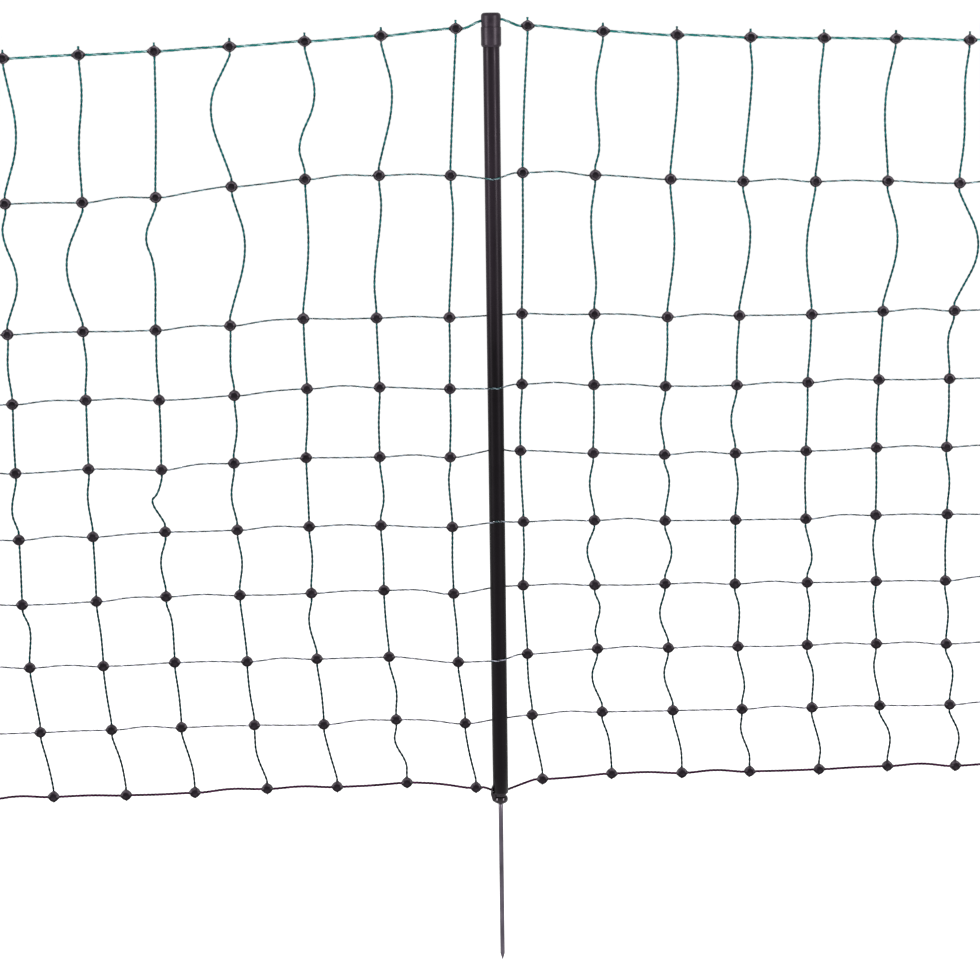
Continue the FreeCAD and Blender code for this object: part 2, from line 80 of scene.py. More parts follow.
# Measured offsets of single knots, up and to +X, rounded, with small ones left out:
# (side, row, column)
KNOT_LIFT = {
    ("left", 1, 1): -2, ("left", 1, 5): 1.5, ("left", 1, 7): -1.5,
    ("left", 2, 1): -2, ("left", 2, 2): 7.5, ("left", 2, 3): 9.5, ("left", 2, 4): 8.5,
    ("left", 2, 6): -3.5, ("left", 3, 1): -1.5, ("left", 3, 2): 1.5, ("left", 3, 3): 6,
    ("left", 3, 4): 2, ("left", 3, 5): -2, ("left", 4, 1): -3.5, ("left", 4, 2): 2.5,
    ("left", 4, 3): 6.5, ("left", 4, 5): -3.5, ("left", 4, 6): 1.5, ("left", 4, 7): -2.5,
    ("left", 5, 1): -5, ("left", 5, 2): 2, ("left", 5, 3): 6, ("left", 5, 4): 1,
    ("left", 5, 5): -3, ("left", 5, 6): 2, ("left", 5, 7): -2.5, ("left", 6, 1): -6.5,
    ("left", 6, 2): 1, ("left", 6, 3): 1.5, ("left", 6, 5): 2, ("left", 6, 6): -3.5,
    ("left", 6, 7): -5, ("left", 7, 1): -7, ("left", 7, 2): 1.5, ("left", 7, 4): 2.5,
    ("left", 7, 5): 3.5, ("left", 7, 6): -1.5, ("left", 7, 7): -1.5, ("left", 8, 1): -10,
    ("left", 8, 2): -1, ("left", 8, 6): -1.5, ("left", 9, 1): -9, ("left", 9, 3): -1.5,
    ("left", 9, 6): 1.5, ("left", 10, 1): -12, ("left", 10, 2): 1.5,
    ("right", 1, 1): 2, ("right", 1, 2): -1, ("right", 1, 3): -2,
    ("right", 2, 6): 3, ("right", 3, 3): -3, ("right", 3, 4): -3, ("right", 3, 5): -2,
    ("right", 3, 6): 2.5, ("right", 4, 3): -3.5, ("right", 4, 4): -4, ("right", 4, 6): 1.5,
    ("right", 5, 1): 3, ("right", 5, 3): -4.5, ("right", 5, 4): -2.5, ("right", 5, 6): 1.5,
    ("right", 5, 7): 1.5, ("right", 6, 3): -1.5, ("right", 6, 5): -1.5, ("right", 6, 6): 2,
    ("right", 6, 7): 2.5, ("right", 7, 1): 2, ("right", 7, 3): 2, ("right", 7, 5): -1.5,
    ("right", 7, 7): -2, ("right", 8, 1): -2.5, ("right", 8, 2): 3, ("right", 8, 3): 2.5,
    ("right", 8, 7): -5, ("right", 9, 2): 3.5, ("right", 9, 3): 1.5, ("right", 9, 5): 1,
    ("right", 9, 7): -2.5, ("right", 10, 1): -1, ("right", 10, 2): 4, ("right", 10, 7): -1.5,
}
KNOT_SHIFT = {
    ("left", 1, 1): 2, ("left", 1, 2): 2, ("left", 2, 2): 3, ("left", 2, 3): 3,
    ("left", 2, 4): 4, ("left", 2, 5): 1.5, ("left", 2, 6): 3, ("left", 3, 5): -1.5,
    ("left", 3, 7): -2, ("left", 4, 2): 3, ("left", 4, 3): 3, ("left", 4, 4): 3,
    ("left", 5, 2): 2, ("left", 6, 7): -2, ("left", 7, 2): 2, ("left", 7, 5): -3,
    ("left", 7, 7): -3, ("left", 8, 2): 2, ("left", 8, 4): 1.5, ("left", 8, 7): -2.5,
    ("left", 9, 1): 1.5, ("left", 9, 2): 3, ("left", 9, 4): 1.5, ("left", 9, 5): -1.5,
    ("left", 10, 1): 2, ("left", 10, 2): 3, ("left", 10, 3): 3, ("left", 10, 4): 3,
    ("left", 10, 6): 2.5,
    ("right", 1, 1): -1.5, ("right", 1, 6): -1.5, ("right", 2, 1): -2, ("right", 2, 2): -3,
    ("right", 3, 3): 1.5, ("right", 3, 4): 1.5, ("right", 3, 5): 2.5, ("right", 3, 6): 2.5,
    ("right", 3, 7): 3, ("right", 5, 1): -2, ("right", 6, 7): 2.5, ("right", 7, 1): -1.5,
    ("right", 7, 5): 3.5, ("right", 7, 6): 2.5, ("right", 7, 7): 2.5, ("right", 8, 1): -1.5,
    ("right", 8, 2): -1.5, ("right", 8, 7): 1.5, ("right", 9, 1): -2.5, ("right", 9, 2): -2,
    ("right", 9, 5): 1.5, ("right", 9, 7): 2.5, ("right", 10, 1): -2, ("right", 10, 2): -2,
    ("right", 10, 4): -1.5,
}
KNOT_RIPPLE = 1.0
# Bows of the uprights, picked from measured spans: (side, column, row above) to
# (share of the way down, bow to +X)
SLACK = {
    ("left", 1, 2): ((0.25, 4),), ("left", 1, 5): ((0.25, -3),),
    ("left", 2, 1): ((0.42, 17),), ("left", 2, 2): ((0.2, 4), (0.75, -4)),
    ("left", 2, 5): ((0.65, 5),), ("left", 2, 8): ((0.55, 5),),
    ("left", 2, 9): ((0.3, -7), (0.75, 3)),
    ("left", 3, 1): ((0.4, 15), (0.78, -9)), ("left", 3, 2): ((0.5, 6),),
    ("left", 3, 6): ((0.45, 3),), ("left", 3, 7): ((0.42, -7),),
    ("left", 4, 1): ((0.42, -28),), ("left", 4, 2): ((0.42, 20),),
    ("left", 4, 3): ((0.65, -3),), ("left", 4, 4): ((0.5, 4),),
    ("left", 4, 5): ((0.5, -6),), ("left", 4, 6): ((0.5, 5),), ("left", 4, 9): ((0.45, -5),),
    ("left", 5, 2): ((0.27, -14), (0.5, 0)), ("left", 5, 5): ((0.36, -6), (0.5, -15)),
    ("left", 5, 6): ((0.45, -7),), ("left", 5, 7): ((0.3, 4),), ("left", 5, 9): ((0.65, 3),),
    ("left", 6, 1): ((0.25, 3), (0.6, -3)), ("left", 6, 2): ((0.47, -23),),
    ("left", 6, 3): ((0.45, 3),), ("left", 6, 5): ((0.4, -4),), ("left", 6, 9): ((0.5, 3),),
    ("left", 7, 1): ((0.55, 17),), ("left", 7, 2): ((0.2, -6), (0.6, 16)),
    ("left", 7, 3): ((0.5, -3),), ("left", 7, 5): ((0.62, -8),), ("left", 7, 7): ((0.35, 7),),
    ("left", 8, 1): ((0.5, -12),), ("left", 8, 2): ((0.4, 9),), ("left", 8, 6): ((0.5, 4),),
    ("right", 2, 1): ((0.35, -7), (0.85, 5)), ("right", 2, 2): ((0.3, -6), (0.8, 3)),
    ("right", 2, 3): ((0.3, -4),), ("right", 2, 5): ((0.45, -6),),
    ("right", 2, 6): ((0.45, -11),), ("right", 2, 7): ((0.3, 7), (0.8, -3)),
    ("right", 2, 8): ((0.45, -11),), ("right", 2, 9): ((0.4, 4),),
    ("right", 3, 1): ((0.35, 5),), ("right", 3, 2): ((0.48, 8),),
    ("right", 3, 4): ((0.5, -6),), ("right", 3, 5): ((0.35, 7),),
    ("right", 3, 6): ((0.5, 10),), ("right", 3, 7): ((0.48, -10),),
    ("right", 3, 8): ((0.42, -9),), ("right", 3, 9): ((0.65, 3),),
    ("right", 4, 1): ((0.22, 5),), ("right", 4, 2): ((0.38, 13),),
    ("right", 4, 4): ((0.5, -7),), ("right", 4, 5): ((0.45, 4),),
    ("right", 4, 7): ((0.33, 5),), ("right", 4, 8): ((0.65, 6),),
    ("right", 4, 9): ((0.3, -5), (0.8, 2)),
    ("right", 5, 1): ((0.35, -3), (0.75, 3)), ("right", 5, 2): ((0.48, -10),),
    ("right", 5, 6): ((0.65, 8),), ("right", 5, 7): ((0.33, 4),),
    ("right", 5, 8): ((0.42, 6),), ("right", 5, 9): ((0.72, 5),),
    ("right", 6, 1): ((0.42, -10),), ("right", 6, 2): ((0.45, 18),),
    ("right", 6, 6): ((0.38, -4),), ("right", 6, 7): ((0.35, -4),),
    ("right", 6, 8): ((0.35, -5),), ("right", 6, 9): ((0.48, 10),),
    ("right", 7, 1): ((0.25, -3), (0.7, 3)), ("right", 7, 2): ((0.5, 32),),
    ("right", 7, 3): ((0.35, -6),), ("right", 7, 5): ((0.5, 4),),
    ("right", 7, 7): ((0.5, 4),), ("right", 7, 8): ((0.4, 8),), ("right", 7, 9): ((0.5, 10),),
    ("right", 8, 1): ((0.5, 14),), ("right", 8, 2): ((0.45, -12),), ("right", 8, 7): ((0.5, -5),),
}
BOW_ROUNDING = 1.25
SMALL_BOW = 1.3
TOP_LINE_RADIUS = 1.65
LINE_RADIUS = 1.1
BOTTOM_LINE_RADIUS = 1.7
UPRIGHT_RADIUS = 1.35
STRAND_GAP = 0.06
UPRIGHT_Y = UPRIGHT_RADIUS + STRAND_GAP
KNOT_RUN = 13.0
KNOT_GRIP = 8.0
CAP_LINE_HALF_RUN = 14.5
CAP_LINE_RISE = 1.2
POST_CLEARANCE = 0.3
TAIL_ABOVE = 11.3
TAIL_BELOW = 9.2
LINE_TAIL = 22.0

# Post
TUBE_RADIUS = 11.2
TUBE_WALL = 2.0
TUBE_BOTTOM = 18.4
TUBE_TOP = 1097.0
SPIKE_RADIUS = 3.35
SPIKE_SHOULDER = -231.0
SPIKE_TIP = -240.6
SPIKE_INTO_FOOT = 0.4
EDGE = 0.3

# Meshes
POST_SIDES = 96
TUBE_RINGS = 25
SPIKE_RINGS = 12
RINGS_PER_TWIST = 9
PLY_SIDES = 8
WIRE_SIDES = 4
CURVE_STEPS = 10
KNOT_VOXEL = 0.42
KNOT_DECIMATE = 0.3
KNOT_TILT = math.radians(5)


# ---------------------------------------------------------------- layout

def line_radius(row):
    if row == 1:
        return TOP_LINE_RADIUS
    if row == ROWS:
        return BOTTOM_LINE_RADIUS
    return LINE_RADIUS


def line_y(row):
    return -(line_radius(row) + STRAND_GAP)


def knot_x(side, row, column):
    """The even column pitch, with the row's lean and the knot's own shift."""
    shift = KNOT_SHIFT.get((side, row, column), 0)
    return SIDES[side] * PITCH * (column - 0.5) + ROW_LEAN[row - 1] + shift


def knot_z(side, row, column):
    """The row's height, less its sag away from the post, with a ripple and the knot's lift."""
    share_left = 1 - (column - 1) / (COLUMNS - 1)
    sag = ROW_SAG[side][row - 1] * (1 - share_left ** 2)
    ripple = KNOT_RIPPLE * math.sin(2.1 * column + 1.3 * row + SIDES[side])
    return ROW_HEIGHTS[row - 1] - sag + ripple + KNOT_LIFT.get((side, row, column), 0)


def line_lift(side, row, column):
    """How far a line rises halfway between two knots."""
    if row == 1:
        return 0.4 * math.sin(2.3 * column + SIDES[side])
    return 1.4 + 2.2 * math.sin(1.9 * column + 2.7 * row + 0.8 * SIDES[side])


def upright_bows(side, column, row):
    """The bows of one span of an upright; a span that SLACK leaves out has a small one."""
    small = SMALL_BOW * math.sin(2.7 * column + 1.7 * row + SIDES[side])
    return SLACK.get((side, column, row), ((0.5, small),))


def upright_route(side, column):
    """Down from the cut tail above the top knot to the one below the bottom knot."""
    route = [(knot_x(side, 1, column), UPRIGHT_Y, knot_z(side, 1, column) + TAIL_ABOVE)]
    for row in range(1, ROWS):
        top = np.array((knot_x(side, row, column), UPRIGHT_Y, knot_z(side, row, column)))
        low = np.array((knot_x(side, row + 1, column), UPRIGHT_Y, knot_z(side, row + 1, column)))
        start = top - (0, 0, KNOT_RUN)
        end = low + (0, 0, KNOT_RUN)
        route += [top - (0, 0, KNOT_GRIP), start]
        for share, bow in upright_bows(side, column, row):
            route.append(start + (end - start) * share + (bow * BOW_ROUNDING, 0, 0))
        route += [end, low + (0, 0, KNOT_GRIP)]
    x_low = knot_x(side, ROWS, column)
    route.append((x_low, UPRIGHT_Y, knot_z(side, ROWS, column) - TAIL_BELOW))
    return np.array(route)


def tangent_corner(distance, offset, radius):
    """How far along X a circle's flat tangent meets its tangent that leads to a point."""
    corner = 0.0
    for _ in range(20):
        corner = radius * math.tan(math.atan2(radius - offset, distance - corner) / 2)
    return corner


def post_crossing(side, row):
    """The route from the middle of the post to the knot beside it."""
    way = SIDES[side]
    z_post = POST_HEIGHTS[row - 1]
    if row == 1:
        rise = way * CAP_LINE_RISE
        return [(0, 0, z_post), (way * CAP_LINE_HALF_RUN * 0.8, 0, z_post + 0.8 * rise),
                (way * CAP_LINE_HALF_RUN * 1.2, 0, z_post + rise - 1)]
    y_way = -1 if row in ROWS_IN_FRONT_OF_POST else 1
    radius = TUBE_RADIUS + line_radius(row) + POST_CLEARANCE
    x_near = abs(knot_x(side, row, 1)) - KNOT_RUN
    corner = tangent_corner(x_near, y_way * line_y(row), radius)
    return [(0, y_way * radius, z_post), (way * corner, y_way * radius, z_post)]


def line_route(side, row):
    """From the middle of the post through the knots to the cut tail past the last one."""
    way = SIDES[side]
    route = post_crossing(side, row)
    for column in range(1, COLUMNS + 1):
        centre = np.array((knot_x(side, row, column), line_y(row), knot_z(side, row, column)))
        route += [centre - (way * KNOT_RUN, 0, 0), centre - (way * KNOT_GRIP, 0, 0),
                  centre + (way * KNOT_GRIP, 0, 0)]
        if column == COLUMNS:
            route.append(centre + (way * LINE_TAIL, 0, 0))
            break
        following = np.array((knot_x(side, row, column + 1), line_y(row),
                              knot_z(side, row, column + 1)))
        lift = line_lift(side, row, column) * BOW_ROUNDING
        route.append(centre + (way * KNOT_RUN, 0, 0))
        route.append((centre + following) / 2 + (0, 0, lift))
    return np.array(route)


# ---------------------------------------------------------------- mesh helpers

def smooth_path(route, step):
    """Evenly spaced points on the parabolas that join the middles of a route's runs."""
    middles = (route[:-1] + route[1:]) / 2
    dense = [route[0]]
    for start, corner, end in zip(middles[:-1], route[1:-1], middles[1:]):
        for t in np.linspace(0, 1, CURVE_STEPS, endpoint=False):
            dense.append((1 - t) ** 2 * start + 2 * t * (1 - t) * corner + t * t * end)
    dense += [middles[-1], route[-1]]
    dense = np.array(dense)
    along = np.concatenate([[0], np.cumsum(np.linalg.norm(np.diff(dense, axis=0), axis=1))])
    even = np.linspace(0, along[-1], max(2, int(along[-1] / step) + 1))
    return np.stack([np.interp(even, along, dense[:, k]) for k in range(3)], axis=1), even


def unit(vectors):
    return vectors / np.linalg.norm(vectors, axis=1, keepdims=True)


def tube(centres, across, other, radius, sides):
    """Vertices and quads of a closed tube with an even number of sides, and each vertex's angle."""
    angles = np.arange(sides) * 2 * math.pi / sides
    ring = across[:, None] * np.cos(angles)[None, :, None]
    ring = ring + other[:, None] * np.sin(angles)[None, :, None]
    vertices = (centres[:, None] + radius[:, None, None] * ring).reshape(-1, 3)
    return vertices, skin(len(centres), sides), np.tile(angles, len(centres))


def skin(rings, sides):
    """Quads over a stack of rings, with both ends filled."""
    at = np.arange(rings * sides).reshape(rings, sides)
    following = np.roll(at, -1, axis=1)
    walls = np.stack([at[:-1], following[:-1], following[1:], at[1:]], axis=-1).reshape(-1, 4)
    return np.concatenate([walls, fan(at[0][::-1]), fan(at[-1])])


def fan(ring):
    """Quads that fill a ring with an even number of corners."""
    return np.array([(ring[0], ring[k], ring[k + 1], ring[k + 2])
                     for k in range(1, len(ring) - 2, 2)])


def new_object(name, vertices, faces, materials, material_of_face=None, strand=None,
               painted_highlight=None):
    """A smooth mesh object from millimetre vertices and faces of equally many corners."""
    mesh = bpy.data.meshes.new(name)
    mesh.vertices.add(len(vertices))
    mesh.vertices.foreach_set("co", (np.asarray(vertices) * MM).astype(np.float32).ravel())
    mesh.loops.add(faces.size)
    mesh.loops.foreach_set("vertex_index", faces.astype(np.int32).ravel())
    mesh.polygons.add(len(faces))
    starts = np.arange(0, faces.size, faces.shape[1], dtype=np.int32)
    mesh.polygons.foreach_set("loop_start", starts)
    if material_of_face is not None:
        mesh.polygons.foreach_set("material_index", material_of_face.astype(np.int32))
    mesh.update(calc_edges=True)
    mesh.shade_smooth()
    if strand is not None:
        attribute = mesh.attributes.new("strand", "FLOAT_VECTOR", "POINT")
        attribute.data.foreach_set("vector", strand.astype(np.float32).ravel())
    # A per-point share of painted highlight, used by the knots' material
    if painted_highlight is not None:
        attribute = mesh.attributes.new("painted_highlight", "FLOAT", "POINT")
        attribute.data.foreach_set("value", painted_highlight)
    for material in materials:
        mesh.materials.append(material)
    piece = bpy.data.objects.new(name, mesh)
    bpy.context.scene.collection.objects.link(piece)
    return piece


def turned(name, profile, material):
    """A closed solid turned about Z from (radius, height) pairs; a radius of 0 is an end."""
    profile = np.array(profile, float)
    rings = profile[1:-1]
    angles = np.arange(POST_SIDES) * 2 * math.pi / POST_SIDES
    circle = np.stack([np.cos(angles), np.sin(angles)], axis=1)
    vertices = [np.column_stack([circle * radius, np.full(POST_SIDES, height)])
                for radius, height in rings]
    return new_object(name, np.concatenate(vertices), skin(len(rings), POST_SIDES), [material])


# ---------------------------------------------------------------- materials

def material(name):
    made = bpy.data.materials.new(name)
    made.use_nodes = True
    return made, made.node_tree, made.node_tree.nodes["Principled BSDF"]


def object_coordinates(tree, scale=(1, 1, 1)):
    """Object coordinates, stretched by a scale for each axis."""
    coordinates = tree.nodes.new("ShaderNodeTexCoord")
    mapping = tree.nodes.new("ShaderNodeMapping")
    mapping.inputs["Scale"].default_value = scale
    tree.links.new(coordinates.outputs["Object"], mapping.inputs["Vector"])
    return mapping.outputs["Vector"]


def height_above_ground(tree):
    """Object height in metres, which is height above the ground."""
    parts = tree.nodes.new("ShaderNodeSeparateXYZ")
    tree.links.new(object_coordinates(tree), parts.inputs["Vector"])
    return parts.outputs["Z"]


def noise(tree, vector, scale, detail=3.0):
    texture = tree.nodes.new("ShaderNodeTexNoise")
    texture.inputs["Scale"].default_value = scale
    texture.inputs["Detail"].default_value = detail
    tree.links.new(vector, texture.inputs["Vector"])
    return texture.outputs["Fac"]


def ramp(tree, value, stops):
    """A colour ramp of (place, colour) stops."""
    made = tree.nodes.new("ShaderNodeValToRGB")
    elements = made.color_ramp.elements
    while len(elements) < len(stops):
        elements.new(0.5)
    for element, (place, colour) in zip(elements, stops):
        element.position = place
        element.color = (*colour, 1)
    tree.links.new(value, made.inputs["Fac"])
    return made.outputs["Color"]


def mixed(tree, share, first, second):
    """A linked colour that goes over to a fixed one by a share."""
    mix = tree.nodes.new("ShaderNodeMix")
    mix.data_type = "RGBA"
    factor, base, other = mix.inputs[0], mix.inputs[6], mix.inputs[7]
    tree.links.new(share, factor)
    tree.links.new(first, base)
    other.default_value = (*second, 1)
    return mix.outputs[2]


def value_range(tree, value, low, high, to_low, to_high):
    made = tree.nodes.new("ShaderNodeMapRange")
    for name, number in (("From Min", low), ("From Max", high),
                         ("To Min", to_low), ("To Max", to_high)):
        made.inputs[name].default_value = number
    tree.links.new(value, made.inputs["Value"])
    return made.outputs["Result"]


def math_node(tree, operation, first, second=None):
    made = tree.nodes.new("ShaderNodeMath")
    made.operation = operation
    for socket, given in zip(made.inputs, (first, second)):
        if given is None:
            continue
        if isinstance(given, (int, float)):
            socket.default_value = given
        else:
            tree.links.new(given, socket)
    return made.outputs["Value"]


def bumped(tree, shader, height, distance_mm, strength=1.0):
    bump = tree.nodes.new("ShaderNodeBump")
    bump.inputs["Distance"].default_value = distance_mm * MM
    bump.inputs["Strength"].default_value = strength
    tree.links.new(height, bump.inputs["Height"])
    tree.links.new(bump.outputs["Normal"], shader.inputs["Normal"])


PLASTIC_GLEAM = (1.0, 0.86, 0.98)
# Colour of the knots' painted highlight and painted light from above
PAINTED_LIGHT_COLOUR = (0.15, 0.125, 0.15)


def plastic(name, dark, light, roughness, grain_mm, grain_depth_mm, drawn=False,
            specular=0.25):
    """Black plastic: uneven tone, uneven gloss, and a moulded grain or drawn streaks.

    Drawn plastic also has painted light from above: its colour is lighter high up and darker
    towards the ground.
    """
    made, tree, shader = material(name)
    stretch = (1, 1, 0.04) if drawn else (1, 1, 1)
    vector = object_coordinates(tree, stretch)
    tone = noise(tree, vector, 60 if drawn else 110, 5)
    if drawn:
        # Painted light from above: lighter high up, darker towards the ground
        painted_fade = value_range(tree, height_above_ground(tree), 0.15, 1.05, -0.42, 0.12)
        tone = math_node(tree, "ADD", tone, painted_fade)
    tree.links.new(ramp(tree, tone, ((0.32, dark), (0.7, light))), shader.inputs["Base Color"])
    grain = noise(tree, vector, 1 / (grain_mm * MM), 3)
    wear = noise(tree, object_coordinates(tree), 35, 4)
    gloss = math_node(tree, "ADD", value_range(tree, wear, 0.3, 0.7, roughness - 0.05,
                                               roughness + 0.06),
                      value_range(tree, grain, 0.3, 0.7, -0.03, 0.03))
    tree.links.new(gloss, shader.inputs["Roughness"])
    shader.inputs["Specular IOR Level"].default_value = specular
    shader.inputs["Specular Tint"].default_value = (*PLASTIC_GLEAM, 1)
    bumped(tree, shader, grain, grain_depth_mm)
    return made


def knots_with_painted_light(name):
    """Black plastic with a painted highlight round the rim and painted light where it looks up."""
    made = plastic(name, (0.0016, 0.0012, 0.0018), (0.006, 0.0045, 0.0065),
                   0.2, 0.5, 0.02, specular=0.06)
    tree = made.node_tree
    shader = next(node for node in tree.nodes if node.type == "BSDF_PRINCIPLED")
    base = shader.inputs["Base Color"].links[0].from_socket
    # Painted highlight: a paler band round the front's rim, set per point
    rim = tree.nodes.new("ShaderNodeAttribute")
    rim.attribute_name = "painted_highlight"
    facing = tree.nodes.new("ShaderNodeSeparateXYZ")
    surface = tree.nodes.new("ShaderNodeNewGeometry")
    tree.links.new(surface.outputs["Normal"], facing.inputs["Vector"])
    # Painted light from above: faces that look up are paler
    painted_top_light = value_range(tree, facing.outputs["Z"], -0.05, 0.5, 0.0, 0.3)
    # Noise breaks the painted highlight and painted light into patches
    patches = value_range(tree, noise(tree, object_coordinates(tree), 300, 3),
                          0.4, 0.6, 0.3, 1.0)
    share = math_node(tree, "ADD", rim.outputs["Fac"], painted_top_light)
    share = math_node(tree, "MULTIPLY", share, patches)
    tree.links.new(mixed(tree, share, base, PAINTED_LIGHT_COLOUR), shader.inputs["Base Color"])
    return made


def steel(name):
    """Drawn steel rod: lengthwise scratches, patches of dull oxide."""
    made, tree, shader = material(name)
    drawn = noise(tree, object_coordinates(tree, (1, 1, 0.02)), 1400, 3)
    patches = noise(tree, object_coordinates(tree, (1, 1, 0.35)), 70, 5)
    colour = ramp(tree, patches, ((0.3, (0.04, 0.034, 0.045)), (0.55, (0.068, 0.058, 0.076)),
                                  (0.75, (0.105, 0.09, 0.108))))
    tree.links.new(colour, shader.inputs["Base Color"])
    shader.inputs["Metallic"].default_value = 0.85
    gloss = math_node(tree, "ADD", value_range(tree, patches, 0.3, 0.75, 0.46, 0.32),
                      value_range(tree, drawn, 0.3, 0.7, -0.05, 0.05))
    tree.links.new(gloss, shader.inputs["Roughness"])
    bumped(tree, shader, drawn, 0.03)
    return made


TWINE_IOR = 1.03
STAIN_SHARE = 0.95
STAIN_TOP = 1.1


def stained(tree, colour, low):
    """A colour that goes over to another one from the net's top down to the ground."""
    share = value_range(tree, height_above_ground(tree), 0.0, STAIN_TOP, STAIN_SHARE, 0.0)
    return mixed(tree, share, colour, low)


def twine(name, dark, light, filaments, lay_mm, low=None, roughness=0.6):
    """One ply of twine: filaments that wind round it, with tone that drifts along it.

    A low colour is what the ply goes over to near the ground.
    """
    made, tree, shader = material(name)
    attribute = tree.nodes.new("ShaderNodeAttribute")
    attribute.attribute_name = "strand"
    parts = tree.nodes.new("ShaderNodeSeparateXYZ")
    tree.links.new(attribute.outputs["Vector"], parts.inputs["Vector"])
    angle = math_node(tree, "ARCTAN2", parts.outputs["Y"], parts.outputs["X"])
    turns = math_node(tree, "MULTIPLY", parts.outputs["Z"], 2 * math.pi / (lay_mm * MM))
    phase = math_node(tree, "ADD", math_node(tree, "MULTIPLY", angle, filaments), turns)
    ridge = math_node(tree, "SINE", phase)
    drift = noise(tree, object_coordinates(tree), 90, 4)
    # Painted light and shade: paler on the filaments' crests and darker in the grooves between them
    groove_shade = value_range(tree, ridge, -1, 1, -0.16, 0.12)
    tone = math_node(tree, "ADD", drift, groove_shade)
    colour = ramp(tree, tone, ((0.25, dark), (0.75, light)))
    if low is not None:
        colour = stained(tree, colour, low)
    tree.links.new(colour, shader.inputs["Base Color"])
    tree.links.new(value_range(tree, drift, 0.3, 0.7, roughness + 0.08, roughness - 0.08),
                   shader.inputs["Roughness"])
    shader.inputs["IOR"].default_value = TWINE_IOR
    bumped(tree, shader, ridge, 0.05)
    return made


def wire_steel(name):
    """The fine conductor wires in the live strands."""
    made, tree, shader = material(name)
    drift = noise(tree, object_coordinates(tree), 400, 3)
    tree.links.new(ramp(tree, drift, ((0.35, (0.12, 0.12, 0.13)), (0.65, (0.5, 0.5, 0.52)))),
                   shader.inputs["Base Color"])
    shader.inputs["Metallic"].default_value = 1.0
    tree.links.new(value_range(tree, drift, 0.3, 0.7, 0.4, 0.22), shader.inputs["Roughness"])
    return made


POST_PLASTIC = plastic("post_plastic", (0.001, 0.0008, 0.001), (0.013, 0.009, 0.013),
                       0.33, 0.5, 0.012, drawn=True, specular=0.08)
CAP_PLASTIC = plastic("cap_plastic", (0.006, 0.004, 0.0065), (0.014, 0.01, 0.0145),
                      0.38, 0.45, 0.02, specular=0.16)
FOOT_PLASTIC = plastic("foot_plastic", (0.0015, 0.0015, 0.0016), (0.004, 0.0036, 0.004),
                       0.14, 0.9, 0.02, specular=0.26)
KNOT_PLASTIC = knots_with_painted_light("knot_plastic")
SPIKE_STEEL = steel("spike_steel")
GREEN_A = twine("green_ply", (0.0018, 0.036, 0.038), (0.014, 0.13, 0.13), 7, 5.0,
                low=(0.0008, 0.003, 0.0055))
GREEN_B = twine("green_ply_deep", (0.0008, 0.015, 0.018), (0.006, 0.07, 0.075), 7, 5.5,
                low=(0.0005, 0.0015, 0.003))
GREEN_C = twine("bright_green_ply", (0.003, 0.045, 0.04), (0.018, 0.16, 0.14), 6, 5.0)
MINT = twine("mint_ply", (0.06, 0.14, 0.14), (0.22, 0.36, 0.37), 6, 5.0)
PALE = twine("pale_ply", (0.01, 0.06, 0.064), (0.17, 0.29, 0.31), 6, 4.0,
             low=(0.24, 0.215, 0.27))
GREY = twine("grey_ply", (0.0006, 0.009, 0.01), (0.006, 0.03, 0.031), 6, 4.0,
             low=(0.028, 0.024, 0.034))
SAGE = twine("sage_ply", (0.0008, 0.022, 0.02), (0.006, 0.08, 0.075), 6, 4.5,
             low=(0.02, 0.019, 0.025))
PURPLE_A = twine("purple_ply", (0.012, 0.0035, 0.01), (0.05, 0.015, 0.04), 8, 6.0)
PURPLE_B = twine("purple_ply_deep", (0.006, 0.0015, 0.005), (0.025, 0.008, 0.02), 8, 6.0)
WIRE = wire_steel("conductor_wire")

# Strand kinds: outer radius, length of one twist, plies, and wires that lie between the plies
STRANDS = {
    "upright": (UPRIGHT_RADIUS, 14.0, (GREEN_A, GREEN_B), ()),
    "top_line": (TOP_LINE_RADIUS, 22.0, (GREEN_C, MINT, GREEN_A), (WIRE, WIRE)),
    "polywire": (LINE_RADIUS, 17.0, (PALE, GREY, SAGE), (WIRE, WIRE)),
    "bottom_line": (BOTTOM_LINE_RADIUS, 16.0, (PURPLE_A, PURPLE_B, PURPLE_A), ()),
}
# Plies squeeze into each other: shares of a strand's radius, for 2 or 3 plies
PLY_RADIUS = {2: 0.88, 3: 0.66}
PLY_OFFSET = {2: 0.38, 3: 0.5}
WIRE_OFFSET = 0.88
WIRE_RADIUS = 0.15


# ---------------------------------------------------------------- strands

def helix(centres, along, radius, pitch, phase):
    """A helix round a path: its centres, its outward directions and its own side directions."""
    forward = unit(np.gradient(centres, axis=0))
    depth = np.array((0.0, 1.0, 0.0))
    out = unit(depth - forward * (forward @ depth)[:, None])
    side = np.cross(forward, out)
    angle = 2 * math.pi * along / pitch + phase
    radial = out * np.cos(angle)[:, None] + side * np.sin(angle)[:, None]
    turning = side * np.cos(angle)[:, None] - out * np.sin(angle)[:, None]
    own_forward = unit(forward + turning * (2 * math.pi * radius / pitch))
    return centres + radial * radius, radial, np.cross(own_forward, radial)


